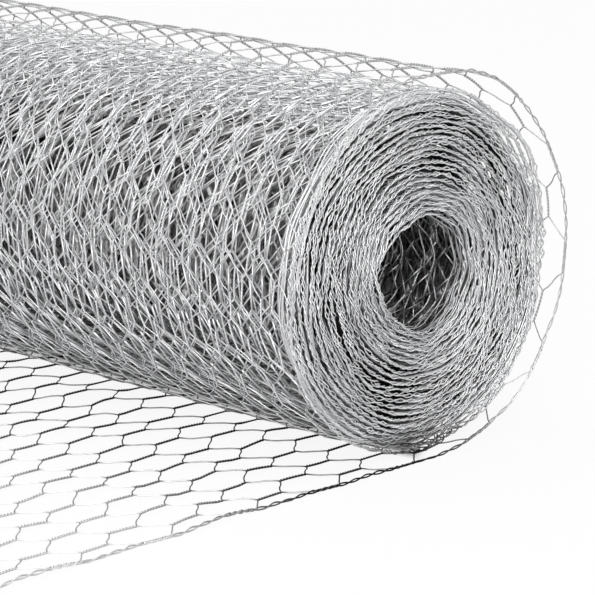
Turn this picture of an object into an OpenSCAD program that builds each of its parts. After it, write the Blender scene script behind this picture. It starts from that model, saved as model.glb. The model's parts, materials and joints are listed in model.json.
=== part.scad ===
// Roll of hexagonal wire netting lying on its side, with its outermost turn standing slack
// and the free end of the netting laid out flat in front of it.
// +X runs along the roll towards the end that the slack netting stands out of,
// the free end runs towards -Y, and the floor is at z = 0.

/* [Netting] */
// Width of the netting from selvedge to selvedge
netting_width = 500; // [300:25:1000]
// Distance between neighbouring twists in one row
mesh_width = 25; // [13:0.5:50]
// Length of netting after which the pattern of twists repeats
mesh_repeat = 58.8; // [50:0.1:90]
// Length of one twist
twist_length = 17.8; // [8:0.1:22]
// Thickness of the wire with its zinc coat
wire_diameter = 0.8; // [0.5:0.05:1.6]

/* [Roll] */
// Outside diameter of the tight turns
roll_diameter = 200; // [150:1:300]
// Diameter of the open middle
bore_diameter = 64; // [30:1:100]
// Number of tight turns
turns = 22; // [10:1:30]
// Depth of the gaps between the turns at the ends of the roll
turn_gap_depth = 3; // [1:0.5:8]

/* [Slack turn] */
// How far the slack turn stands off the roll at most
slack_height = 8; // [2:0.5:20]
// Angle behind the top of the roll at which it stands off most
slack_peak_angle = 10; // [-10:1:40]
// Angle in front of the top at which it lies on the roll again
slack_end_angle = 75; // [45:1:100]
// How far the slack netting stands out of the end of the roll
side_step = 10; // [0:1:30]
// Gap between the roll and the netting that it lies on
seat_gap = 0.3; // [0.1:0.1:1]

/* [Free end] */
// Length of netting laid out flat in front of the line under the axis
free_length = 330; // [120:5:600]
// Distance of the first row of twists behind that line
first_row = 5.6; // [0:0.1:25]

/* [Hidden] */
// The slack turn is cut across into strips that are each nearly flat
strips = 9;
strip_steps = 6;
function strip_name(number) = str("slack_strip_", number);

// Two wires lie side by side in a twist, and three in a selvedge
twist_width = 2 * wire_diameter;
selvedge_width = 3 * wire_diameter;
sheet_thickness = twist_width;

columns = round(2 * netting_width / mesh_width);
half_mesh = netting_width / columns;
row_pitch = mesh_repeat / 2;
diagonal_rise = row_pitch - twist_length;
diagonal_length = norm([half_mesh, diagonal_rise]);
diagonal_inset = wire_diameter / 2 * diagonal_length / half_mesh;

roll_radius = roll_diameter / 2;
bore_radius = bore_diameter / 2;
// A turn's selvedge shows as a ring on each end, with a gap to the next ring
turn_room = (roll_radius - bore_radius) / turns;
ring_width = min(selvedge_width, 0.8 * turn_room);
turn_pitch = (roll_radius - bore_radius - ring_width) / (turns - 1);
axis_height = sheet_thickness + seat_gap + roll_radius;

// Angles go from the top of the roll towards the back, so 180 is under the axis
under_angle = 180;
front_angle = -slack_end_angle;
strip_angle = (under_angle - front_angle) / strips;
angle_step = strip_angle / strip_steps;
past_end = 40;
cutter_height = 12;

wire_colour = [0.80, 0.81, 0.82];

// How far the slack turn stands off the roll, easing to nothing under the axis and at the front
function stand_off(angle) =
    let (reach = angle > slack_peak_angle
            ? (angle - slack_peak_angle) / (under_angle - slack_peak_angle)
            : (slack_peak_angle - angle) / (slack_peak_angle - front_angle))
    slack_height * (1 + cos(180 * min(reach, 1))) / 2;

function slack_radius(angle) = roll_radius + seat_gap + sheet_thickness / 2 + stand_off(angle);

// A point in the Y-Z plane at an angle round the axis
function round_axis(radius, angle) = [radius * sin(angle), axis_height + radius * cos(angle)];

// Length along the slack turn against the angle reached, from under the axis to past its front end
turn_table = [
    for (angle = under_angle, length = 0; angle >= front_angle - past_end; angle = angle - angle_step,
            length = length + slack_radius(angle + angle_step / 2) * angle_step * PI / 180)
        [length, angle]
];
function angle_at(length) = lookup(length, turn_table);
// Middle of the netting in the Y-Z plane at a length along it, flat where the length is negative
function netting_point(length) =
    length < 0
        ? [length, sheet_thickness / 2]
        : let (angle = angle_at(length)) round_axis(slack_radius(angle), angle);

function row_place(row) = first_row + row * row_pitch;
first_free_row = floor((-free_length - first_row) / row_pitch) - 1;
last_slack_row = floor((max([for (entry = turn_table) entry[0]]) - first_row) / row_pitch);

// Openings alternate from column to column: column 0 is the selvedge at the +X side
function has_opening(column, row) = (column + row) % 2 == 0;
function column_x(column) = netting_width / 2 + side_step - column * half_mesh;

// Outline of one mesh opening round its middle: six corners, or four beside a selvedge
twist_side = half_mesh - twist_width / 2;
side_end = twist_length / 2 + diagonal_rise * (twist_width / 2) / half_mesh - diagonal_inset;
apex = twist_length / 2 + diagonal_rise - diagonal_inset;
selvedge_end = apex - diagonal_rise * (selvedge_width / 2) / half_mesh;
right_half = [[twist_side, -side_end], [twist_side, side_end]];
left_half = [[-twist_side, side_end], [-twist_side, -side_end]];
full_opening = concat(right_half, [[0, apex]], left_half, [[0, -apex]]);
near_opening = concat(left_half, [[-selvedge_width / 2, -selvedge_end], [-selvedge_width / 2, selvedge_end]]);
far_opening = concat(right_half, [[selvedge_width / 2, selvedge_end], [selvedge_width / 2, -selvedge_end]]);
function opening(column) =
    column == 0 ? near_opening : column == columns ? far_opening : full_opening;

// The box round the whole object, whose middle at floor level is the origin
back_reach = max([for (step = [0:strips * strip_steps])
    let (angle = under_angle - step * angle_step)
    round_axis(slack_radius(angle) + sheet_thickness / 2, angle)[0]]);
middle_x = (side_step + selvedge_width / 2) / 2;
middle_y = (back_reach - free_length) / 2;

module wire() {
    color(wire_colour) translate([-middle_x, -middle_y, 0]) children();
}

// Netting with its openings, flat on the floor from one place along its length to another
module flat_netting(from, to) {
    linear_extrude(height = sheet_thickness)
        difference() {
            translate([column_x(columns) - selvedge_width / 2, from])
                square([netting_width + selvedge_width, to - from]);
            for (row = [first_free_row:1])
                for (column = [0:columns])
                    if (has_opening(column, row))
                        translate([column_x(column), row_place(row)]) polygon(opening(column));
        }
}

// Closed sheet that follows the slack turn from one angle on over one strip
module slack_sheet(from) {
    half = sheet_thickness / 2;
    angles = [for (step = [0:strip_steps]) from - step * angle_step];
    inner = [for (angle = angles) round_axis(slack_radius(angle) - half, angle)];
    outer = [for (step = [strip_steps:-1:0]) round_axis(slack_radius(angles[step]) + half, angles[step])];
    translate([column_x(columns) - selvedge_width / 2, 0, 0])
        rotate([90, 0, 90])
            linear_extrude(height = netting_width + selvedge_width)
                polygon(concat(inner, outer));
}

// Outlines of the openings that reach into a strip, each standing square to the netting
module slack_openings(from) {
    for (row = [-1:last_slack_row]) {
        angle = angle_at(row_place(row));
        spot = netting_point(row_place(row));
        reach = apex / slack_radius(angle) * 180 / PI + angle_step;
        if (angle < from + reach && angle > from - strip_angle - reach)
            for (column = [0:columns])
                if (has_opening(column, row))
                    translate([column_x(column), spot[0], spot[1]])
                        rotate([under_angle - angle, 0, 0])
                            linear_extrude(height = cutter_height, center = true)
                                polygon(opening(column));
    }
}

// Outline of the tight turns beside the axis, from the bore outwards and back
module roll_profile() {
    end = netting_width / 2;
    ridges = [
        for (turn = [0:turns - 1])
            let (start = bore_radius + turn * turn_pitch)
            each concat(
                [[start, end], [start + ring_width, end]],
                turn < turns - 1 ? [[start + (turn_pitch + ring_width) / 2, end - turn_gap_depth]] : [])
    ];
    far_ridges = [for (i = [len(ridges) - 1:-1:0]) [ridges[i][0], -ridges[i][1]]];
    polygon(concat(ridges, far_ridges));
}

// The tight turns as one turned solid with an open middle
module wound_roll() {
    wire()
        translate([0, 0, axis_height])
            rotate([0, 90, 0])
                rotate_extrude($fn = 180) roll_profile();
}

// One strip of the slack turn: the first starts under the axis and the last ends on the front of the roll
module slack_strip(number) {
    from = under_angle - (number - 1) * strip_angle;
    wire()
        difference() {
            slack_sheet(from);
            slack_openings(from);
        }
}

// Free end of the netting on the floor
module free_end() {
    wire() flat_netting(-free_length, 0);
}

wound_roll();
for (number = [1:strips])
    slack_strip(number);
free_end();
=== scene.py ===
"""Roll of galvanised hexagonal wire netting, dressed wire by wire.

The whole roll is one length of netting. Its pattern of twists and diagonals is laid out once,
across its width and along its length, and then follows one path: flat along the floor, round the
slack turn, and round the tight turns down to the open middle.

Lengths are in metres, angles round the roll in degrees from its top towards its back. Lengths
along the netting are counted from the line under the roll's axis, with the free end below zero.
"""

import json
import logging
import math
from collections.abc import Callable
from dataclasses import dataclass, field
from enum import Enum

import bpy
import numpy as np
from mathutils import Matrix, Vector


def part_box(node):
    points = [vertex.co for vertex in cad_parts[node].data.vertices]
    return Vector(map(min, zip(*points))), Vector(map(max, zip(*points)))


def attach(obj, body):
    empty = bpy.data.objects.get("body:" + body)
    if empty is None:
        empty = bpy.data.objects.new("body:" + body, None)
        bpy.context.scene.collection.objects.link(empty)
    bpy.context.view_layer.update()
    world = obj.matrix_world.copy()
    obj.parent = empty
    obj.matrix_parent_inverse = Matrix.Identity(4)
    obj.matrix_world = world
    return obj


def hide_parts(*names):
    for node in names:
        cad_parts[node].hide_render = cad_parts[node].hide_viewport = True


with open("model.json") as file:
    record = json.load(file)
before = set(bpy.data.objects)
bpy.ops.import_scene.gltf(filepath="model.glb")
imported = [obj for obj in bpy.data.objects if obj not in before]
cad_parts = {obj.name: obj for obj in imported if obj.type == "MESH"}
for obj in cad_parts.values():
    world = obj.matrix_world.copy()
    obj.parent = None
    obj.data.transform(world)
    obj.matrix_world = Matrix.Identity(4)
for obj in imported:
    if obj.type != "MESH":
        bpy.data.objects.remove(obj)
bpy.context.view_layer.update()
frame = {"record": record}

LOG = logging.getLogger("netting_roll")
MM = 0.001
SEED = 20
# Keeps a division by a length of zero from failing
TINY = 1e-12
UNIT_RANGE = (0.0, 1.0)
FULL_TURN = 360

Array = np.ndarray
Pair = tuple[float, float]
Waves = tuple[tuple[int, float, float], ...]
Point = tuple[float, float, float]
Colour = tuple[float, float, float, float]
Socket = bpy.types.NodeSocket

ROLL_NODES = ("wound_roll",)
STRIP_NODES = tuple(f"slack_strip_{number}" for number in range(1, 10))
BACK_STRIPS = 5

# The strand or diagonal that leaves a twist towards +X, and the one that leaves it towards -X
SIDES = (1, -1)

# Painted light and shade on the wires of the free end, by the way they run: how much darker they
# are painted than their place makes them, below 0 lighter. The twists get painted shade in their
# grooves and painted light on their strands' tops, the diagonals towards +X painted light and the
# others painted shade, and the selvedge's rope is painted darker.
TWIST_GROOVE_PAINTED_SHADE = 0.36
TWIST_TOP_PAINTED_LIGHT = -0.25
DIAGONAL_PAINTED_LIGHT_AND_SHADE = {1: -0.36, -1: 0.12}
SELVEDGE_PAINTED_SHADE = 0.2

# Turns left to the open middle where the bars of the deep turns start and end
DEEP_START_LEFT = 12.7
DEEP_END_LEFT = 7.0
# The broad bars fill the gaps of the deep turns and are painted dark, as shade
# How many times wider than thick those bars are, by the turns left to the open middle
DEEP_TURNS_LEFT = np.array([DEEP_START_LEFT, 10.0, 7.2, 6.8])
DEEP_BREADTHS = np.array([1.9, 18.0, 18.0, 9.0])


def unit(vectors: Array) -> Array:
    """Vectors of the same directions with a length of 1."""
    return vectors / (np.linalg.norm(vectors, axis=-1, keepdims=True) + TINY)


def ramp(value: Array, start: float | Array, fade: float) -> Array:
    """Straight rise from 0 at the start to 1 a fade further on, where a fade below 0 points back."""
    return (value - start) / fade


def share(value: Array) -> Array:
    """Values held between 0 and 1."""
    return np.clip(value, 0, 1)


def fall(reach: Array) -> Array:
    """Smooth fall from 1 to 0 as the reach goes from 0 to 1."""
    return (1 + np.cos(math.pi * reach)) / 2


def link(name: str, data: bpy.types.ID) -> bpy.types.Object:
    """Link a new object to the scene.

    Args:
        name: its name.
        data: its mesh, lamp or camera.

    Returns:
        The object.
    """
    made = bpy.data.objects.new(name, data)
    bpy.context.scene.collection.objects.link(made)
    return made


def stand(right: Array, up: Array, back: Array, place: Point) -> Matrix:
    """Matrix of an object at a place, with its three axes along these directions."""
    return Matrix(np.vstack([np.column_stack([right, up, back, place]), (0, 0, 0, 1)]).tolist())


class Detail(Enum):
    """How closely the wires of a stretch of netting are modelled."""

    FINE = "two strands, many steps"
    MEDIUM = "two strands, fewer steps"
    BEADED = "one beaded bar for each twist"
    PLAIN = "one plain bar for each twist"
    DEEP = "one broad bar for each twist, where turns hide it"


class Edge(Enum):
    """The edges of the netting, each with the direction along X from it into the netting."""

    NEAR = -1
    FAR = 1


@dataclass(frozen=True)
class WireShape:
    """Form of the wires at one level of detail, with thicknesses in wire radii.

    A bar stands for a twist: it is as thick as its bar value, and its beads swell it further.
    Columns nearer to a selvedge than the margin are left out.
    """

    sides: int
    twist_steps: int
    diagonal_steps: int
    bar: float = 1.0
    bead: float = 0.0
    diagonal: float = 1.2
    diagonal_sides: int = 3
    diagonal_breadth: float = 1.0
    margin: int = 1


# The pieces of the tight turns from the outside in
TIGHT_PIECES = {
    "outer_turns": Detail.MEDIUM,
    "second_turns": Detail.BEADED,
    "third_turns": Detail.PLAIN,
    "deep_turns": Detail.DEEP,
    "bore_turns": Detail.PLAIN,
    "inner_turns": Detail.BEADED,
}

SHAPES = {
    Detail.FINE: WireShape(sides=4, twist_steps=30, diagonal_steps=5),
    Detail.MEDIUM: WireShape(sides=3, twist_steps=22, diagonal_steps=3),
    Detail.BEADED: WireShape(sides=3, twist_steps=18, diagonal_steps=2, bar=1.25, bead=0.7),
    Detail.PLAIN: WireShape(sides=4, twist_steps=1, diagonal_steps=1, bar=1.9),
    Detail.DEEP: WireShape(sides=4, twist_steps=1, diagonal_steps=1, diagonal_breadth=0.8, margin=2),
}


@dataclass(frozen=True)
class Rope:
    """How the wires of a selvedge lie round each other, and the wires that run beside them.

    A lay is the length of one turn of the rope, tight at its twists and loose between them. A wire
    beside has its distance from the selvedge and its height. It thickens over the outer turns,
    counted from the outside, and thins over the inner ones, counted from the open middle.
    """

    wires: int = 3
    wire_radius: float = 0.44 * MM
    loose_orbit: float = 0.68 * MM
    tight_orbit: float = 0.6 * MM
    loose_lay: float = 10 * MM
    tight_lay: float = 7 * MM
    lay_ease: float = 2 * MM
    sides: int = 3
    spacing: float = 1.3 * MM
    stray: float = 0.42 * MM
    joining_steps: int = 18
    leaving_steps: int = 4
    beside: tuple[Pair, ...] = ()
    beside_radius: float = 1.1 * MM
    beside_spacing: float = 4 * MM
    beside_outer: Pair = (0.3, 3.5)
    beside_inner: Pair = (3.2, 1.4)


FREE_ROPE = Rope(wires=2, wire_radius=0.45 * MM, loose_orbit=0.62 * MM, tight_orbit=0.52 * MM,
                 loose_lay=19 * MM, tight_lay=4.6 * MM, sides=4, spacing=0.7 * MM, stray=0.12 * MM)
NEAR_ROPE = Rope(beside=((4.6 * MM, 0.0), (8.0 * MM, 1.2 * MM)))
FAR_ROPE = Rope(spacing=2.0 * MM, beside=((4.6 * MM, 0.0),))


@dataclass(frozen=True)
class Pattern:
    """Sizes of the hexagonal netting."""

    half_mesh: float = 12.5 * MM
    row_pitch: float = 29.4 * MM
    twist_length: float = 17.8 * MM
    half_turns: int = 9
    wire_radius: float = 0.4 * MM
    first_row: float = 5.6 * MM
    diagonal_ease: float = 0.06

    @property
    def diagonal_rise(self) -> float:
        """Length of netting that a diagonal takes up."""
        return self.row_pitch - self.twist_length

    @property
    def diagonal_span(self) -> float:
        """Width of netting between the two wires that a diagonal joins."""
        return self.half_mesh - 2 * self.wire_radius

    def row_place(self, row: Array) -> Array:
        """Length along the netting at the middle of a row of twists."""
        return self.first_row + row * self.row_pitch

    def rows_between(self, start: float, end: float) -> Array:
        """Numbers of the rows whose middles lie between two lengths, lowest first."""
        low, high = (math.ceil((mark - self.first_row) / self.row_pitch) for mark in (start, end))
        return np.arange(low, high)

    def along_twist(self, steps: int) -> Array:
        """Lengths from the middle of a twist at each of its steps."""
        return np.linspace(-0.5, 0.5, steps + 1) * self.twist_length

    def along_diagonal(self, away: Array) -> Array:
        """Lengths from the middle of a twist at shares of the way along its diagonal."""
        return self.twist_length / 2 + self.diagonal_rise * away

    def winding(self, steps: int) -> Array:
        """Angle of the strands round each other at each step of a twist, in radians."""
        return math.pi * (self.half_turns * np.linspace(0, 1, steps + 1) + 1)


class SmoothNoise:
    """A smooth seeded field over the netting, made of a few sine waves."""

    LEAST_RATE_ALONG = 0.3

    def __init__(self, seed: int, across_wave: float, along_wave: float, waves: int = 6) -> None:
        """Choose the waves.

        Args:
            seed: the seed of the choice.
            across_wave: the shortest wave across the netting.
            along_wave: the shortest wave along it.
            waves: the number of waves.
        """
        pick = np.random.default_rng(seed)
        self.across = pick.uniform(-1, 1, waves) * math.tau / across_wave
        self.along = pick.uniform(self.LEAST_RATE_ALONG, 1, waves) * math.tau / along_wave
        self.phase = pick.uniform(0, math.tau, waves)
        self.weight = 1 / math.sqrt(waves / 2)

    def __call__(self, across: Array | float, along: Array) -> Array:
        """Find the values of the field.

        Args:
            across: places across the netting, or one for all.
            along: places along it.

        Returns:
            The values, mostly between -1.5 and 1.5.
        """
        total = np.zeros(np.broadcast(across, along).shape)
        for rate_across, rate_along, phase in zip(self.across, self.along, self.phase):
            total += np.sin(rate_across * across + rate_along * along + phase)
        return total * self.weight


@dataclass(frozen=True)
class Unevenness:
    """How far the netting strays from its even pattern, and the fields that it strays by.

    It ripples up and down and is pulled about, and its single wires bow and lift. In the tight
    turns it also creeps and drifts along the roll and slips round it.
    """

    ease_length: float = 60 * MM
    creep_reach: float = 0.45 * MM
    pull_across: float = 0.5 * MM
    pull_across_tight: float = 0.7 * MM
    pull_along: float = 0.6 * MM
    drift_reach: float = 6.0 * MM
    slip_reach: float = 8.5 * MM
    ripple_at_ends: float = 0.12 * MM
    ripple_between: float = 0.25 * MM
    ripple_slack: float = 0.5 * MM
    ripple_floor: float = 0.9 * MM
    floor_bias: float = 0.6
    floor_most: float = 2.0
    bow: float = 0.35 * MM
    diagonal_lift: float = 0.2 * MM
    rope_fields_apart: float = 10.0
    ripple: SmoothNoise = SmoothNoise(SEED, across_wave=0.09, along_wave=0.06)
    pull: SmoothNoise = SmoothNoise(SEED + 1, across_wave=0.12, along_wave=0.05)
    creep: SmoothNoise = SmoothNoise(SEED + 2, across_wave=9.0, along_wave=0.16)
    drift: SmoothNoise = SmoothNoise(SEED + 4, across_wave=0.35, along_wave=0.3)
    slip: SmoothNoise = SmoothNoise(SEED + 5, across_wave=9.0, along_wave=0.5)
    stray: SmoothNoise = SmoothNoise(SEED + 6, across_wave=0.01, along_wave=0.014)


@dataclass(frozen=True)
class PaintedShade:
    """Where painted shade darkens the wires' colour, from 0 for bright to 1 for darkest.

    It stands for the shade deep in the tight turns, behind the roll's ends, low on the roll and on
    the free end beside it; the slack turn is painted darker too. A pair is the place where the
    darkening starts and the fade over which it becomes full.
    """

    behind_end: Pair = (2.8 * MM, 1.5 * MM)
    end_depth: Pair = (6 * MM, 8 * MM)
    end_reach: Pair = (22 * MM, -10 * MM)
    off_bore: Pair = (16 * MM, 6 * MM)
    deep_heights: Pair = (15 * MM, 75 * MM)
    deep_starts: Pair = (14 * MM, 28 * MM)
    deep_fade: float = 8 * MM
    deep_most: float = 0.8
    under_roll: Pair = (20 * MM, -18 * MM)
    under_roll_most: float = 0.9
    slack_height: Pair = (-1 * MM, -2 * MM)
    slack_most: float = 0.4
    flat_height: float = 4 * MM
    free_reach: Pair = (0.62, -0.4)
    free_least: float = 0.1
    free_rise: float = 0.86


@dataclass
class NettingPath:
    """The way that the length of netting takes: floor, slack turn, tight turns.

    The dents are waves round the roll, each with its number of waves, its phase and its drift
    from turn to turn. The lobes of the bulge are waves with a phase and a weight.
    """

    roll_radius: float
    bore_radius: float
    axis_y: float
    axis_z: float
    free_length: float
    sheet_thickness: float = 1.6 * MM
    seat_gap: float = 0.3 * MM
    slack_height: float = 8.0 * MM
    slack_peak: float = 10.0
    slack_front: float = -75.0
    under_axis: float = 180.0
    turns: float = 22.05
    settle_turns: float = 0.25
    bore_inset: float = 2.5 * MM
    bore_shift: float = 7.0 * MM
    bore_shift_turns: float = 7.0
    bore_shift_phase: float = -5.1
    bore_bulge: float = 1.6 * MM
    bore_bulge_turns: float = 4.0
    bore_lobes: Waves = ((2, -0.6, 1.0), (3, 0.9, 0.8))
    dent_depth: float = 0.28 * MM
    end_wave: float = 0.5 * MM
    dents: Waves = (
        (2, 0.4, 0.21), (3, 2.1, -0.32), (5, 4.0, 0.45), (7, 1.3, -0.6), (11, 5.2, 0.8))
    slack_step: float = 0.5
    tight_step: float = 1.0
    floor_step: float = 5 * MM
    past_free_end: float = 40 * MM
    table: dict[str, Array] = field(init=False)

    def __post_init__(self) -> None:
        """Trace the path once, in small steps, as a table against length."""
        slack = np.arange(self.under_axis, self.slack_front, -self.slack_step)
        tight = self.slack_front - np.arange(0.0, FULL_TURN * self.turns, self.tight_step)
        angles = np.concatenate([slack, tight])
        radius = np.concatenate([self._slack_radius(slack), self._tight_radius(tight)])
        y = radius * np.sin(np.radians(angles))
        z = radius * np.cos(np.radians(angles))
        length = np.concatenate([[0.0], np.cumsum(np.hypot(np.diff(y), np.diff(z)))])
        floor = np.arange(-self.free_length - self.past_free_end, -self.floor_step / 2, self.floor_step)
        angles = np.concatenate([np.full(len(floor), self.under_axis), angles])
        self.table = {
            "length": np.concatenate([floor, length]),
            "angle": angles,
            "y": np.concatenate([floor, y]),
            "z": np.concatenate([np.full(len(floor), z[0]), z]),
            "wound": self._turns_in(angles),
        }

    def _turns_in(self, angles: Array) -> Array:
        """Number of tight turns wound inwards up to an angle."""
        return np.maximum(self.slack_front - angles, 0) / FULL_TURN

    def _settled(self, wound: Array) -> Array:
        """Share by which the netting has settled onto the roll after some tight turns."""
        return share(wound / self.settle_turns)

    def _slack_radius(self, angles: Array) -> Array:
        """Find the radius of the slack turn.

        Args:
            angles: the angles round the roll.

        Returns:
            The radius at each angle, largest at the peak.
        """
        back = (angles - self.slack_peak) / (self.under_axis - self.slack_peak)
        front = (self.slack_peak - angles) / (self.slack_peak - self.slack_front)
        reach = share(np.where(angles > self.slack_peak, back, front))
        lift = self.slack_height * fall(reach)
        return self.roll_radius + self.seat_gap + self.sheet_thickness / 2 + lift

    def _tight_radius(self, angles: Array) -> Array:
        """Find the radius of the tight turns, which settle onto the roll and then wind inwards evenly.

        Args:
            angles: the angles, 360 less for each turn.

        Returns:
            The radius at each angle.
        """
        wound = self._turns_in(angles)
        half = self.sheet_thickness / 2
        outer = self.roll_radius - half
        inner = self.bore_radius - self.bore_inset + half
        pitch = (outer - inner) / (self.turns - self.settle_turns)
        drop = (self.seat_gap + self.sheet_thickness) * fall(self._settled(wound))
        return outer + drop - pitch * np.maximum(wound - self.settle_turns, 0)

    def _out_of_round(self, turn: Array, wound: Array) -> Array:
        """Find how far the tight turns lie inside a true spiral.

        Args:
            turn: the angle round the axis, in radians.
            wound: the number of tight turns wound so far.

        Returns:
            The shift towards the axis, alike in neighbouring turns and largest at the open middle.
        """
        left = self.turns - wound
        dents = sum(np.cos(waves * turn + phase + drift * wound) for waves, phase, drift in self.dents)
        shift = np.exp(-left / self.bore_shift_turns) * np.cos(turn + self.bore_shift_phase)
        lobes = sum(weight * np.cos(waves * turn + phase) for waves, phase, weight in self.bore_lobes)
        bulge = np.exp(-left / self.bore_bulge_turns) * lobes
        inwards = self.dent_depth * dents + self.bore_shift * shift + self.bore_bulge * bulge
        return self._settled(wound) * inwards

    def _off_end(self, turn: Array, wound: Array) -> Array:
        """How far the tight turns lie along the roll from an even end, alike in neighbouring turns."""
        shift = sum(np.sin(waves * turn + 2 * phase + drift * wound) for waves, phase, drift in self.dents)
        return self._settled(wound) * self.end_wave * shift

    def _look_up(self, along: Array, column: str) -> Array:
        """Values of a column of the table at lengths along the netting."""
        return np.interp(along, self.table["length"], self.table[column])

    def turns_at(self, along: Array) -> Array:
        """Number of tight turns wound inwards up to a length along the netting."""
        return self._look_up(along, "wound")

    def length_at_angle(self, angle: float) -> float:
        """Length along the netting at an angle."""
        return float(np.interp(-angle, -self.table["angle"], self.table["length"]))

    def length_at_turn(self, turns: float) -> float:
        """Length along the netting after so many tight turns."""
        return self.length_at_angle(self.slack_front - FULL_TURN * turns)

    @property
    def full_length(self) -> float:
        """Length of the netting behind the line under the axis."""
        return float(self.table["length"][-1])

    def place(self, across: Array, along: Array, lift: Array) -> tuple[Array, Array]:
        """Find points on the netting.

        Args:
            across: position along the roll.
            along: length along the netting.
            lift: height above the middle of the netting, towards the axis.

        Returns:
            The points, and the direction of lift at each.
        """
        turn = np.radians(self._look_up(along, "angle"))
        wound = self.turns_at(along)
        shift = lift + self._out_of_round(turn, wound)
        up_y = -np.sin(turn)
        up_z = -np.cos(turn)
        x = across + self._off_end(turn, wound)
        y = self.axis_y + self._look_up(along, "y") + shift * up_y
        z = self.axis_z + self._look_up(along, "z") + shift * up_z
        return np.stack([x, y, z], axis=-1), np.stack([np.zeros_like(x), up_y, up_z], axis=-1)


class WireMesh:
    """Gathers swept wires and turns them into one mesh."""

    def __init__(self) -> None:
        """Start with no wires."""
        self.points: list[Array] = []
        self.corners: list[Array] = []
        self.sizes: list[Array] = []
        self.painted_tones: list[Array] = []
        self.count = 0

    def sweep(self, lines: Array, ups: Array, radius: Array | float, sides: int,
              spread: Array | float = 1.0, tone: Array | float = 0.0) -> None:
        """Sweep a round section along many wires of the same number of points.

        Args:
            lines: the middle lines, as wires by points by 3.
            ups: a direction across each wire at each point, in the same form.
            radius: the radius, as one number or one for each point of a wire.
            sides: the number of sides of the section.
            spread: how many times wider than thick it is, as one number or one for each wire.
            tone: the painted light or shade of a point beyond that of its place, in the form of the radius.
        """
        wires, steps, _ = lines.shape
        tangent = unit(np.gradient(lines, axis=1))
        side = unit(np.cross(tangent, ups))
        over = np.cross(side, tangent)
        turn = np.arange(sides)[:, None] * math.tau / sides
        thick = np.broadcast_to(np.asarray(radius, float), (wires, steps))[:, :, None, None]
        wide = np.broadcast_to(np.asarray(spread, float), wires)[:, None, None, None]
        ring = wide * np.cos(turn) * side[:, :, None, :] + np.sin(turn) * over[:, :, None, :]
        self.points.append((lines[:, :, None, :] + thick * ring).reshape(-1, 3))
        self.painted_tones.append(np.broadcast_to(np.asarray(tone, float), (wires, steps)).repeat(sides))
        base = self.count + np.arange(wires)[:, None, None] * steps * sides
        step = base + np.arange(steps - 1)[None, :, None] * sides
        this = step + np.arange(sides)
        after = step + (np.arange(sides) + 1) % sides
        quads = np.stack([this, after, after + sides, this + sides], axis=-1).reshape(-1, 4)
        first = base[:, 0] + np.arange(sides)[::-1]
        last = base[:, 0] + (steps - 1) * sides + np.arange(sides)
        self.corners += [quads.ravel(), first.ravel(), last.ravel()]
        self.sizes += [np.full(len(quads), 4), np.full(2 * wires, sides)]
        self.count += wires * steps * sides

    def build(self, name: str, painted_darkness: Callable[[Array, Array], Array]) -> bpy.types.Object:
        """Make the mesh object.

        Args:
            name: the name of the piece.
            painted_darkness: gives the painted shade of each point, from 0 to 1, by its place and its own
                painted tone.

        Returns:
            The object, linked to the scene.
        """
        points = np.concatenate(self.points)
        corners = np.concatenate(self.corners)
        sizes = np.concatenate(self.sizes)
        mesh = bpy.data.meshes.new(name)
        mesh.vertices.add(len(points))
        mesh.vertices.foreach_set("co", points.astype(np.float32).ravel())
        mesh.loops.add(len(corners))
        mesh.loops.foreach_set("vertex_index", corners.astype(np.int32))
        mesh.polygons.add(len(sizes))
        mesh.polygons.foreach_set("loop_start", (np.cumsum(sizes) - sizes).astype(np.int32))
        mesh.polygons.foreach_set("use_smooth", np.ones(len(sizes), bool))
        mesh.update(calc_edges=True)
        mesh.validate()
        # The painted shade goes on each point, for the finish to darken its colour by
        depth = mesh.attributes.new("painted_darkness", "FLOAT", "POINT")
        depth.data.foreach_set("value", painted_darkness(points, np.concatenate(self.painted_tones)).astype(np.float32))
        return link(name, mesh)

    @property
    def triangles(self) -> int:
        """Number of triangles that the wires come to."""
        return int(sum((sizes - 2).sum() for sizes in self.sizes))


@dataclass(frozen=True)
class Stretch:
    """A stretch of the netting that becomes one piece."""

    name: str
    start: float
    end: float
    detail: Detail
    nodes: tuple[str, ...]


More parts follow.
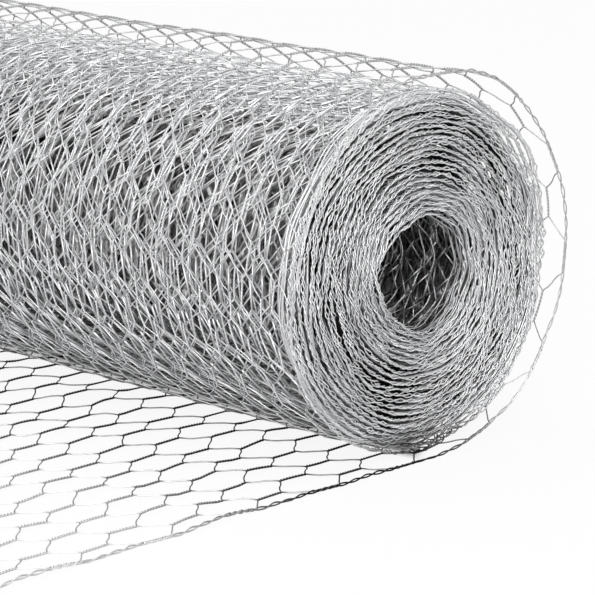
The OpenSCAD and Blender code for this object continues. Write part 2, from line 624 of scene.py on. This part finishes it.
@dataclass
class Netting:
    """The length of netting: its pattern, its path, and how far it strays from both."""

    pattern: Pattern
    path: NettingPath
    near_edge: float
    columns: int
    roll_shift: float
    uneven: Unevenness = Unevenness()
    # Where the wires' colour is painted darker, as shade
    painted_shade: PaintedShade = PaintedShade()
    floor_clear: float = 0.46 * MM
    recessed_turns: float = 2.4
    recess_step: float = 2.4 * MM
    pick: np.random.Generator = field(init=False)

    def __post_init__(self) -> None:
        """Seed the random bends of single wires."""
        self.pick = np.random.default_rng(SEED + 3)

    @property
    def width(self) -> float:
        """Width of the netting between its selvedges."""
        return self.columns * self.pattern.half_mesh

    def column_x(self, column: Array | int) -> Array | float:
        """Position of a column of twists along the roll."""
        return self.near_edge - column * self.pattern.half_mesh

    def lay(self, across: Array, along: Array, lift: Array) -> tuple[Array, Array]:
        """Put points of the pattern on the path, with the netting's own unevenness.

        Args:
            across: position along the roll in the even pattern.
            along: length along the netting in the even pattern.
            lift: height above the middle of the netting.

        Returns:
            The points, and the direction of lift at each.
        """
        by = self.uneven
        tight = share(ramp(along, self.path.length_at_turn(0), by.ease_length))
        floor = share(ramp(along, 0.0, -by.ease_length))
        slack = (1 - tight) * (1 - floor)
        reach = (self.near_edge - across) / self.width
        give = share(4 * reach * (1 - reach)) ** 0.5
        moved = along + by.pull_along * by.pull(along, across) + tight * by.slip_reach * by.slip(0.0, along)
        left = self.path.turns - self.path.turns_at(moved)
        recess = self.recess_step * np.maximum(self.recessed_turns - left, 0)
        shifted = across - tight * self.roll_shift - (1 - reach) * recess
        shifted = shifted + tight * by.creep_reach * by.creep(0.0, along)
        shifted = shifted + (by.pull_across + by.pull_across_tight * tight * give) * by.pull(across, along)
        shifted = shifted + tight * give * by.drift_reach * by.drift(across, along)
        rise = by.ripple(across, along)
        raised = lift + tight * (by.ripple_at_ends + by.ripple_between * give) * rise
        raised = raised + slack * by.ripple_slack * rise
        raised = raised + floor * by.ripple_floor * np.clip(rise + by.floor_bias, 0, by.floor_most)
        points, ups = self.path.place(shifted, moved, raised)
        points[..., 2] = np.maximum(points[..., 2], self.floor_clear)
        return points, ups

    def painted_darkness(self, points: Array, tone: Array) -> Array:
        """Find the painted shade of points, standing for the shade deep in the tight turns, behind the
        roll's ends, low on the roll and on the free end beside it; the slack turn is painted darker too.

        Args:
            points: the points, as rows of 3.
            tone: the painted light or shade that each point of the free end gets by the way its wire runs.

        Returns:
            For each point 0 for bright, up to 1 for the darkest painted shade.
        """
        by = self.painted_shade
        x, y, z = points.T
        radius = np.hypot(y - self.path.axis_y, z - self.path.axis_z)
        under = self.path.roll_radius - radius
        inside = self.width / 2 - np.abs(x - (self.near_edge - self.roll_shift - self.width / 2))
        # Painted shade under the surface near the ends, where the gaps between the end ropes show
        at_end = np.minimum(ramp(under, *by.end_depth), ramp(inside, *by.end_reach))
        # Painted shade deep in the tight turns, starting nearer the surface low on the roll
        deep = ramp(under, np.interp(z, by.deep_heights, by.deep_starts), by.deep_fade)
        dark = np.maximum(at_end, np.minimum(deep, by.deep_most))
        off_bore = ramp(radius - self.path.bore_radius, *by.off_bore)
        # The end ropes themselves and the turns near the open middle get no painted shade
        most = np.minimum(ramp(inside, *by.behind_end), off_bore)
        # Painted shade low on the roll near the floor
        under_roll = by.under_roll_most * share(ramp(z, *by.under_roll))
        # The slack turn is painted darker by a set share
        slack = by.slack_most * share(ramp(under, *by.slack_height))
        in_roll = np.maximum(share(np.minimum(most, dark)), under_roll) + slack
        # Painted shade on the free end on the floor, darkest beside the roll, plus each wire's painted
        # light or shade
        from_roll = (self.path.axis_y - y) / self.path.free_length
        shade = by.free_least + by.free_rise * share(ramp(from_roll, *by.free_reach))
        flat = (z < by.flat_height) & (from_roll > 0)
        return share(np.where(flat, shade + tone, in_roll))


@dataclass(frozen=True)
class Weave:
    """The twists and diagonals of a stretch of netting, which become part of a mesh."""

    netting: Netting
    mesh: WireMesh
    stretch: Stretch

    @property
    def shape(self) -> WireShape:
        """Form of the wires."""
        return SHAPES[self.stretch.detail]

    def build(self) -> None:
        """Add the wires to the mesh at the stretch's level of detail."""
        if self.stretch.detail in (Detail.FINE, Detail.MEDIUM):
            for side in SIDES:
                self._strands(side)
            return
        self._bars()
        for side in SIDES:
            self._diagonals(side)

    def _twists(self) -> tuple[Array, Array]:
        """Find the middles of the twists between the selvedges.

        Returns:
            The positions across and the lengths along, each with one row for each twist.
        """
        netting, margin = self.netting, self.shape.margin
        rows = netting.pattern.rows_between(self.stretch.start, self.stretch.end)
        row, column = np.meshgrid(rows, np.arange(margin, netting.columns - margin + 1), indexing="ij")
        keep = (row + column) % 2 == 1
        return netting.column_x(column[keep])[:, None], netting.pattern.row_place(row[keep])[:, None]

    def _strands(self, side: int) -> None:
        """Add one strand of each twist, with the diagonal that it runs on into.

        Args:
            side: 1 for the strand that leaves towards +X, -1 for the other.
        """
        netting, size, shape = self.netting, self.netting.pattern, self.shape
        middle_x, middle = self._twists()
        wind = size.winding(shape.twist_steps)
        twist_x = side * np.cos(wind) * size.wire_radius
        twist_lift = side * np.sin(wind) * size.wire_radius
        twist_along = size.along_twist(shape.twist_steps)
        away = np.linspace(0, 1, shape.diagonal_steps + 1)[1:]
        ease = away + size.diagonal_ease * np.sin(math.tau * away)
        diagonal_x = side * (size.wire_radius + size.diagonal_span * ease)
        bow = netting.pick.normal(0, netting.uneven.bow, (2, len(middle), 1)) * np.sin(math.pi * away)
        x = middle_x + np.concatenate([twist_x, diagonal_x])
        along = middle + np.concatenate([twist_along, size.along_diagonal(away)])
        lift = np.zeros_like(x) + np.concatenate([twist_lift, np.zeros_like(away)])
        x[:, len(wind):] += bow[0]
        lift[:, len(wind):] += bow[1]
        lines, ups = netting.lay(x, along, lift)
        # Painted light on the tops of the twist's strands and painted shade in its grooves, and the
        # diagonals' painted light or shade
        on_top = share(side * np.sin(wind))
        twist_painted_light_and_shade = TWIST_GROOVE_PAINTED_SHADE + (TWIST_TOP_PAINTED_LIGHT - TWIST_GROOVE_PAINTED_SHADE) * on_top
        tone = np.concatenate([twist_painted_light_and_shade, np.full(shape.diagonal_steps, DIAGONAL_PAINTED_LIGHT_AND_SHADE[side])])
        self.mesh.sweep(lines, ups, size.wire_radius, shape.sides, tone=tone)

    def _breadth(self) -> Array | float:
        """Find how many times wider than thick the bars are.

        Returns:
            One value for each bar of the deep turns, and 1 for all bars of other turns.
        """
        if self.stretch.detail is not Detail.DEEP:
            return 1.0
        path = self.netting.path
        wound = path.turns_at(self._twists()[1][:, 0])
        return np.interp(wound, path.turns - DEEP_TURNS_LEFT, DEEP_BREADTHS)

    def _bars(self) -> None:
        """Add each twist as one bar."""
        size, shape = self.netting.pattern, self.shape
        middle_x, middle = self._twists()
        along = middle + size.along_twist(shape.twist_steps)
        lines, ups = self.netting.lay(middle_x + np.zeros_like(along), along, np.zeros_like(along))
        swell = np.abs(np.sin(size.winding(shape.twist_steps)))
        thick = size.wire_radius * (shape.bar + shape.bead * swell)
        self.mesh.sweep(lines, ups, thick, shape.sides, self._breadth())

    def _diagonals(self, side: int) -> None:
        """Add the diagonals that leave the twists towards one side.

        Args:
            side: 1 for the diagonals towards +X, -1 for the others.
        """
        netting, size, shape = self.netting, self.netting.pattern, self.shape
        middle_x, middle = self._twists()
        away = np.linspace(0, 1, shape.diagonal_steps + 1)
        x = middle_x + side * (size.wire_radius + size.diagonal_span * away)
        along = middle + size.along_diagonal(away)
        lift = netting.pick.normal(0, netting.uneven.diagonal_lift, x.shape)
        lines, ups = netting.lay(x, along, lift)
        spread = shape.diagonal_breadth * self._breadth()
        self.mesh.sweep(lines, ups, size.wire_radius * shape.diagonal, shape.diagonal_sides, spread)


@dataclass(frozen=True)
class Selvedge:
    """The rope of wires along one edge of a stretch, and the wires that join it or run beside it."""

    netting: Netting
    mesh: WireMesh
    stretch: Stretch
    edge: Edge
    rope: Rope

    @property
    def column(self) -> int:
        """Number of the column of twists that the selvedge holds."""
        return 0 if self.edge is Edge.NEAR else self.netting.columns

    @property
    def across(self) -> float:
        """Position of the selvedge along the roll."""
        return self.netting.column_x(self.column)

    def build(self) -> None:
        """Add the wires to the mesh."""
        size, rope, start, end = self.netting.pattern, self.rope, self.stretch.start, self.stretch.end
        rows = size.rows_between(start - size.row_pitch, end + size.row_pitch)
        middles = size.row_place(rows[(rows + self.column) % 2 == 1])
        along = np.arange(start, end + rope.spacing, rope.spacing)
        gap = np.abs(along[:, None] - middles).min(axis=1)
        tight = share(ramp(gap, (size.twist_length + rope.lay_ease) / 2, -rope.lay_ease))
        lay = tight / rope.tight_lay + (1 - tight) / rope.loose_lay
        wind = np.cumsum(math.tau * lay) * rope.spacing
        self._rope_wires(np.stack([along, tight, wind]))
        self._joining_wires(middles[(middles > start) & (middles < end)], np.stack([along, wind]))
        self._beside_wires()

    def _rope_wires(self, winding: Array) -> None:
        """Add the wires of the rope, with fewer points where they lie loose.

        Args:
            winding: lengths along the selvedge, how tight it is there, and the angle of its wires.
        """
        rope, uneven = self.rope, self.netting.uneven
        even = np.arange(winding.shape[1]) % 2 == 0
        along, tight, wind = winding[:, (winding[1] > 0) | even]
        orbit = rope.loose_orbit + (rope.tight_orbit - rope.loose_orbit) * tight
        for wire in range(rope.wires):
            loose_phase = math.tau * wire / rope.wires
            tight_phase = math.tau * wire / (rope.wires + 1)
            turn = wind + loose_phase + (tight_phase - loose_phase) * tight
            stray_x = rope.stray * uneven.stray(uneven.rope_fields_apart * wire, along)
            stray_lift = rope.stray * uneven.stray(uneven.rope_fields_apart * (wire + 0.5), along)
            x = self.across + orbit * np.cos(turn) + stray_x
            lift = orbit * np.sin(turn) + stray_lift
            lines, ups = self.netting.lay(x[None, :], along[None, :], lift[None, :])
            # The rope's wires are painted darker where they lie on the free end
            self.mesh.sweep(lines, ups, rope.wire_radius, rope.sides, tone=SELVEDGE_PAINTED_SHADE)

    def _joining_wires(self, middles: Array, winding: Array) -> None:
        """Add the wires that join the selvedge at its twists and run back into the netting.

        Args:
            middles: the lengths at the middles of the selvedge's twists.
            winding: lengths along the selvedge, and the angle of its wires there.
        """
        size, rope, orbit = self.netting.pattern, self.rope, self.rope.tight_orbit
        reach = size.along_twist(rope.joining_steps)
        turn = np.interp(middles[:, None] + reach, *winding)
        turn += math.tau * rope.wires / (rope.wires + 1)
        away = np.linspace(0, 1, rope.leaving_steps + 1)[1:]
        away_x = self.edge.value * (orbit + (size.half_mesh - orbit - size.wire_radius) * away)
        still = np.zeros((len(middles), len(away)))
        x = self.across + np.concatenate([orbit * np.cos(turn), away_x + still], axis=1)
        lift = np.concatenate([orbit * np.sin(turn), still], axis=1)
        along = middles[:, None] + np.concatenate([reach, size.along_diagonal(away)])
        lines, ups = self.netting.lay(x, along, lift)
        self.mesh.sweep(lines, ups, size.wire_radius, rope.sides)

    def _beside_wires(self) -> None:
        """Add the wires that run beside the rope in the tight turns."""
        rope, path = self.rope, self.netting.path
        marks = [path.length_at_turn(turns) for turns in rope.beside_outer]
        marks += [path.length_at_turn(path.turns - turns) for turns in rope.beside_inner]
        thin, thick = rope.wire_radius, rope.beside_radius
        along = np.arange(marks[0], self.stretch.end, rope.beside_spacing)[None, :]
        radius = np.interp(along, marks, (thin, thick, thick, thin))
        for set_back, lift in rope.beside:
            x = np.full_like(along, self.across + self.edge.value * set_back)
            lines, ups = self.netting.lay(x, along, np.full_like(along, lift))
            self.mesh.sweep(lines, ups, radius, rope.sides)


@dataclass(frozen=True)
class NodeKit:
    """Adds nodes to one node tree and feeds their inputs."""

    tree: bpy.types.NodeTree

    def add(self, kind: str, inputs: dict[str | int, object], **settings: str) -> bpy.types.Node:
        """Add a node.

        Args:
            kind: its type, without the words that all shader nodes start with.
            inputs: values or sockets for its inputs, by name or number.
            settings: its own settings.

        Returns:
            The node.
        """
        node = self.tree.nodes.new(f"ShaderNode{kind}")
        for name, value in settings.items():
            setattr(node, name, value)
        self.feed(node, inputs)
        return node

    def feed(self, node: bpy.types.Node, inputs: dict[str | int, object]) -> None:
        """Set or link the inputs of a node.

        Args:
            node: the node.
            inputs: values or sockets for its inputs, by name or number.
        """
        for key, value in inputs.items():
            if isinstance(value, Socket):
                self.tree.links.new(value, node.inputs[key])
            else:
                node.inputs[key].default_value = value

    def calculate(self, operation: str, *terms: Socket | float) -> Socket:
        """Result of a math operation on sockets and numbers."""
        return self.add("Math", dict(enumerate(terms)), operation=operation).outputs[0]

    def rescale(self, value: Socket, before: Pair = UNIT_RANGE, after: Pair = UNIT_RANGE) -> Socket:
        """Value moved from the range that it has before to the one after, and held inside it."""
        ends = dict(zip(("From Min", "From Max", "To Min", "To Max"), before + after))
        return self.add("MapRange", {"Value": value, **ends}).outputs["Result"]

    def blend(self, amount: Socket, first: Socket, second: Colour) -> Socket:
        """Colour that turns from the first into the second as the amount goes from 0 to 1."""
        colours = {"Factor": amount, "A": first, "B": second}
        return self.add("Mix", colours, data_type="RGBA").outputs["Result"]


@dataclass(frozen=True)
class Zinc:
    """Galvanised finish: bright zinc with mottled tone and roughness, and painted shade that darkens
    its colour towards near black, and roughens it a little, where its points carry it.

    A net of grey lines is painted on the broad bars of the deep turns, over their painted shade, for
    the fine wires behind them: each of its layers has a grey tone and a scale.
    """

    name: str = "galvanised_zinc"
    light: Colour = (0.95, 0.955, 0.96, 1.0)
    dark: Colour = (0.82, 0.825, 0.84, 1.0)
    tone_stops: Pair = (0.32, 0.62)
    # Near-black colour that the painted shade darkens the zinc towards
    deep: Colour = (0.025, 0.025, 0.026, 1.0)
    metallic: float = 1.0
    edge_tint: Colour = (0.35, 0.35, 0.36, 1.0)
    smoothest: float = 0.36
    roughest: float = 0.52
    deep_roughening: float = 0.12
    mottle_scale: float = 260.0
    mottle_detail: float = 4.0
    grain_scale: float = 2600.0
    grain_strength: float = 0.25
    grain_height: float = 0.05 * MM
    net: tuple[Pair, ...] = ()
    net_squash: Point = (2.4, 1.0, 1.0)
    net_line: Pair = (0.035, 0.06)

    def build(self) -> bpy.types.Material:
        """Make the node material.

        Returns:
            The material.
        """
        material = bpy.data.materials.new(self.name)
        material.use_nodes = True
        kit = NodeKit(material.node_tree)
        place = kit.add("TexCoord", {}).outputs["Object"]
        # The points' painted shade
        depth = kit.add("Attribute", {}, attribute_name="painted_darkness").outputs["Fac"]
        mottling = {"Vector": place, "Scale": self.mottle_scale, "Detail": self.mottle_detail}
        mottle = kit.add("TexNoise", mottling).outputs["Fac"]
        tone = kit.add("ValToRGB", {"Fac": mottle})
        stops = zip(tone.color_ramp.elements, self.tone_stops, (self.dark, self.light))
        for stop, position, colour in stops:
            stop.position = position
            stop.color = colour
        # Painted shade: the mottled colour darkened towards near black
        with_painted_shade = kit.blend(depth, tone.outputs["Color"], self.deep)
        gloss = kit.rescale(mottle, after=(self.roughest, self.smoothest))
        grain = kit.add("TexNoise", {"Vector": place, "Scale": self.grain_scale}).outputs["Fac"]
        bumps = {"Height": grain, "Strength": self.grain_strength, "Distance": self.grain_height}
        kit.feed(material.node_tree.nodes["Principled BSDF"], {
            "Metallic": self.metallic,
            "Specular Tint": self.edge_tint,
            "Base Color": self._draw_net(kit, place, with_painted_shade),
            "Roughness": kit.calculate("MULTIPLY_ADD", depth, self.deep_roughening, gloss),
            "Normal": kit.add("Bump", bumps).outputs["Normal"],
        })
        return material

    def _draw_net(self, kit: NodeKit, place: Socket, colour: Socket) -> Socket:
        """Draw the layers of the net over a colour.

        Args:
            kit: the nodes of the material.
            place: the position on the piece.
            colour: the colour under the net.

        Returns:
            The colour with the net, or the same one where there is no net.
        """
        for grey, scale in self.net:
            squashed = kit.add("VectorMath", {0: place, 1: self.net_squash}, operation="MULTIPLY")
            cells = kit.add("TexVoronoi", {"Vector": squashed.outputs["Vector"], "Scale": scale},
                            feature="DISTANCE_TO_EDGE")
            line = kit.rescale(cells.outputs["Distance"], self.net_line, (1.0, 0.0))
            colour = kit.blend(line, colour, (grey, grey, grey, 1.0))
        return colour


# Finish of the deep turns: a painted net of grey lines for the fine wires, over the bars' painted shade
DEEP_ZINC = Zinc("galvanised_zinc_deep", net=((0.35, 95.0), (0.6, 68.0), (0.9, 52.0)))


@dataclass(frozen=True)
class Lamp:
    """A soft square lamp, with its power in watts."""

    name: str
    place: Point
    aim: Point
    size: float
    power: float

    def hang(self) -> None:
        """Hang the lamp so that it faces its aim."""
        data = bpy.data.lights.new(self.name, "AREA")
        data.size = self.size
        data.energy = self.power
        back = unit(np.subtract(self.place, self.aim))
        side = unit(np.cross((0.0, 0.0, 1.0), back))
        link(self.name, data).matrix_world = stand(side, np.cross(back, side), back, self.place)


LAMPS = (
    Lamp("key", place=(1.8, -1.5, 1.3), aim=(0.1, 0.0, 0.1), size=1.5, power=36.0),
    Lamp("top", place=(-0.4, 0.0, 2.4), aim=(0.0, 0.1, 0.1), size=2.0, power=14.0),
)


@dataclass(frozen=True)
class Studio:
    """White studio: the camera of the photograph, a surround and a floor.

    The end is the point on the floor under the middle of the roll's near end.
    """

    end: Point
    image_px: float = 595.0
    focal_px: float = 3240.0
    azimuth: float = 46.14
    elevation: float = 13.68
    camera_roll: float = -0.89
    camera_from_end: Point = (1.1687, -1.2147, 0.4983)
    sensor_mm: float = 36.0
    clip_end: float = 100.0
    white: Colour = (1.0, 1.0, 1.0, 1.0)
    ambient: float = 0.7
    floor_size: float = 30.0
    floor_tone: float = 0.85
    glossy_share: float = 0.3
    shadow_share: float = 0.1
    contact_back: float = 0.095
    contact_right: float = 0.002
    contact_fade: float = 0.012

    @property
    def right(self) -> Point:
        """Direction on the floor that points right in the photograph."""
        return math.cos(math.radians(self.azimuth)), math.sin(math.radians(self.azimuth)), 0.0

    def camera(self) -> None:
        """Place the camera and make it the scene's own."""
        tilt = math.radians(self.elevation)
        roll = math.radians(self.camera_roll)
        right = np.array(self.right)
        back = np.array([right[1] * math.cos(tilt), -right[0] * math.cos(tilt), math.sin(tilt)])
        up = np.cross(back, right)
        data = bpy.data.cameras.new("camera")
        data.sensor_width = self.sensor_mm
        data.lens = self.focal_px / self.image_px * self.sensor_mm
        data.clip_end = self.clip_end
        camera = link("camera", data)
        camera.matrix_world = stand(
            right * math.cos(roll) + up * math.sin(roll), up * math.cos(roll) - right * math.sin(roll),
            back, np.add(self.end, self.camera_from_end))
        bpy.context.scene.camera = camera

    def surround(self) -> None:
        """Light the world, which is plain white where it shows."""
        world = bpy.data.worlds.new("studio")
        bpy.context.scene.world = world
        world.use_nodes = True
        kit = NodeKit(world.node_tree)
        level = kit.rescale(self._seen_directly(kit, 1.0), after=(self.ambient, 1.0))
        kit.feed(world.node_tree.nodes["Background"], {"Color": self.white, "Strength": level})

    @staticmethod
    def _seen_directly(kit: NodeKit, reflected: float) -> Socket:
        """Tell the rays apart that see the studio itself.

        Args:
            kit: the nodes of the material or the world.
            reflected: the value for glossy and transmission rays.

        Returns:
            1 for camera rays, that value for glossy and transmission rays, and 0 for others.
        """
        rays = kit.add("LightPath", {}).outputs
        seen = rays["Is Camera Ray"]
        for name in ("Is Glossy Ray", "Is Transmission Ray"):
            seen = kit.calculate("MULTIPLY_ADD", rays[name], reflected, seen)
        return seen

    def floor(self) -> None:
        """Make the pale floor."""
        half = self.floor_size / 2
        corners = [(-half, -half, 0), (half, -half, 0), (half, half, 0), (-half, half, 0)]
        mesh = bpy.data.meshes.new("floor")
        mesh.from_pydata(corners, [], [(0, 1, 2, 3)])
        mesh.materials.append(self._floor_finish())
        floor = link("floor", mesh)

    def _floor_finish(self) -> bpy.types.Material:
        """Make the matt finish, which keeps the full shadow under the roll and a faint one elsewhere.

        Returns:
            The material.
        """
        material = bpy.data.materials.new("studio_floor")
        material.use_nodes = True
        nodes = material.node_tree.nodes
        nodes.remove(nodes["Principled BSDF"])
        kit = NodeKit(material.node_tree)
        matt = kit.add("BsdfDiffuse", {"Color": (self.floor_tone, self.floor_tone, self.floor_tone, 1.0)})
        glow = kit.add("Emission", {})
        faint = kit.calculate("MULTIPLY", self._clear_of_roll(kit), 1 - self.shadow_share)
        white = kit.calculate("MULTIPLY", faint, self._seen_directly(kit, self.glossy_share))
        mix = kit.add("MixShader", {"Fac": white, 1: matt.outputs["BSDF"], 2: glow.outputs["Emission"]})
        kit.feed(nodes["Material Output"], {"Surface": mix.outputs["Shader"]})
        return material

    def _clear_of_roll(self, kit: NodeKit) -> Socket:
        """Tell the floor under the roll from the rest.

        Args:
            kit: the nodes of the floor's material.

        Returns:
            0 under the roll, and 1 to the right, in front and behind.
        """
        place = kit.add("TexCoord", {}).outputs["Object"]
        depth = kit.add("SeparateXYZ", {"Vector": place}).outputs["Y"]
        across = kit.add("VectorMath", {0: place, 1: self.right}, operation="DOT_PRODUCT").outputs["Value"]
        front, fade = self.end[1], self.contact_fade
        back = front + self.contact_back
        right = float(np.dot(self.right, self.end)) + self.contact_right
        beside = kit.rescale(across, (right - fade, right))
        before = kit.rescale(depth, (front, front - fade))
        behind = kit.rescale(depth, (back - fade, back))
        return kit.calculate("MAXIMUM", kit.calculate("MAXIMUM", beside, before), behind)


@dataclass
class NettingRoll:
    """The dressed roll: the netting's stretches and selvedges as pieces on the frame.

    The pieces of the tight turns meet after so many turns from the outside, and further in where
    so many turns are left to the open middle. The last one stops short of the netting's end.
    """

    netting: Netting
    finish: bpy.types.Material
    deep_finish: bpy.types.Material
    outer_joins: tuple[float, ...] = (1.25, 2.6)
    inner_joins: tuple[float, ...] = (DEEP_START_LEFT, DEEP_END_LEFT, 3.6)
    inner_trim: float = 20 * MM
    body: str = "root"
    slot: str = "galvanised_wire"

    @property
    def inner_end(self) -> float:
        """Length along the netting at which the tight turns end."""
        return self.netting.path.full_length - self.inner_trim

    def stretches(self) -> list[Stretch]:
        """Divide the netting into pieces.

        Returns:
            The stretches from the free end to the open middle.
        """
        path = self.netting.path
        back_share = BACK_STRIPS / len(STRIP_NODES)
        split = path.length_at_angle(path.under_axis - (path.under_axis - path.slack_front) * back_share)
        turns = (0.0, *self.outer_joins, *(path.turns - left for left in self.inner_joins))
        marks = [*(path.length_at_turn(turn) for turn in turns), self.inner_end]
        tight = [Stretch(name, start, end, detail, ROLL_NODES)
                 for (name, detail), start, end in zip(TIGHT_PIECES.items(), marks, marks[1:])]
        return [
            Stretch("free_end_netting", -path.free_length, 0.0, Detail.FINE, ("free_end",)),
            Stretch("slack_back_netting", 0.0, split, Detail.FINE, STRIP_NODES[:BACK_STRIPS]),
            Stretch("slack_top_netting", split, marks[0], Detail.FINE, STRIP_NODES[BACK_STRIPS:]),
            *tight,
        ]

    def dress(self, mesh: WireMesh, stretch: Stretch) -> bpy.types.Object:
        """Make a piece of a mesh and put it on the frame.

        Args:
            mesh: the wires.
            stretch: the stretch of netting that they make up.

        Returns:
            The piece.
        """
        # The points carry their painted shade into the finish
        piece = mesh.build(stretch.name, self.netting.painted_darkness)
        piece.data.materials.append(self.deep_finish if stretch.detail is Detail.DEEP else self.finish)
        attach(piece, self.body)
        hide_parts(*stretch.nodes)
        LOG.info("%s: %d triangles", stretch.name, mesh.triangles)
        return piece

    def build(self) -> list[bpy.types.Object]:
        """Build every piece, the loose netting first and the selvedges of the tight turns last.

        Returns:
            The pieces.
        """
        pieces = []
        for stretch in self.stretches():
            mesh = WireMesh()
            Weave(self.netting, mesh, stretch).build()
            if stretch.detail is Detail.FINE:
                for edge in Edge:
                    Selvedge(self.netting, mesh, stretch, edge, FREE_ROPE).build()
            pieces.append(self.dress(mesh, stretch))
        front = self.netting.path.length_at_turn(0)
        for name, edge, rope in (("near_end_selvedge", Edge.NEAR, NEAR_ROPE),
                                 ("far_end_selvedge", Edge.FAR, FAR_ROPE)):
            mesh = WireMesh()
            stretch = Stretch(name, front, self.inner_end, Detail.MEDIUM, ROLL_NODES)
            Selvedge(self.netting, mesh, stretch, edge, rope).build()
            pieces.append(self.dress(mesh, stretch))
        return pieces


def make_netting() -> Netting:
    """Set up the netting from the frame's own sizes.

    Returns:
        The netting.
    """
    roll_low, roll_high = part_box("wound_roll")
    free_low, free_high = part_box("free_end")
    bore = next(mount for mount in frame["record"]["mounts"] if mount["name"] == "bore")
    pattern = Pattern()
    path = NettingPath(
        roll_radius=(roll_high.z - roll_low.z) / 2,
        bore_radius=bore["dims"]["r_mm"] * MM,
        axis_y=bore["pos_m"][1],
        axis_z=bore["pos_m"][2],
        free_length=free_high.y - free_low.y,
    )
    selvedge_radius = 3 * pattern.wire_radius
    width = free_high.x - free_low.x - 2 * selvedge_radius
    return Netting(
        pattern=pattern,
        path=path,
        near_edge=free_high.x - selvedge_radius,
        columns=round(width / pattern.half_mesh),
        roll_shift=free_high.x - selvedge_radius - roll_high.x,
    )


def light_studio() -> None:
    """Build the camera, the surround, the floor and the lamps."""
    roll_low, roll_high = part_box("wound_roll")
    studio = Studio(end=(roll_high.x, (roll_low.y + roll_high.y) / 2, 0.0))
    studio.camera()
    studio.surround()
    studio.floor()
    for lamp in LAMPS:
        lamp.hang()


def main() -> None:
    """Build the roll and the studio."""
    logging.basicConfig(level=logging.INFO, format="%(name)s: %(message)s")
    bpy.context.scene.view_settings.view_transform = "Standard"
    netting = make_netting()
    pieces = NettingRoll(netting, Zinc().build(), DEEP_ZINC.build()).build()
    light_studio()
    length = netting.path.full_length + netting.path.free_length
    LOG.info("%d pieces, %.2f m of netting", len(pieces), length)


if __name__ == "__main__":
    main()
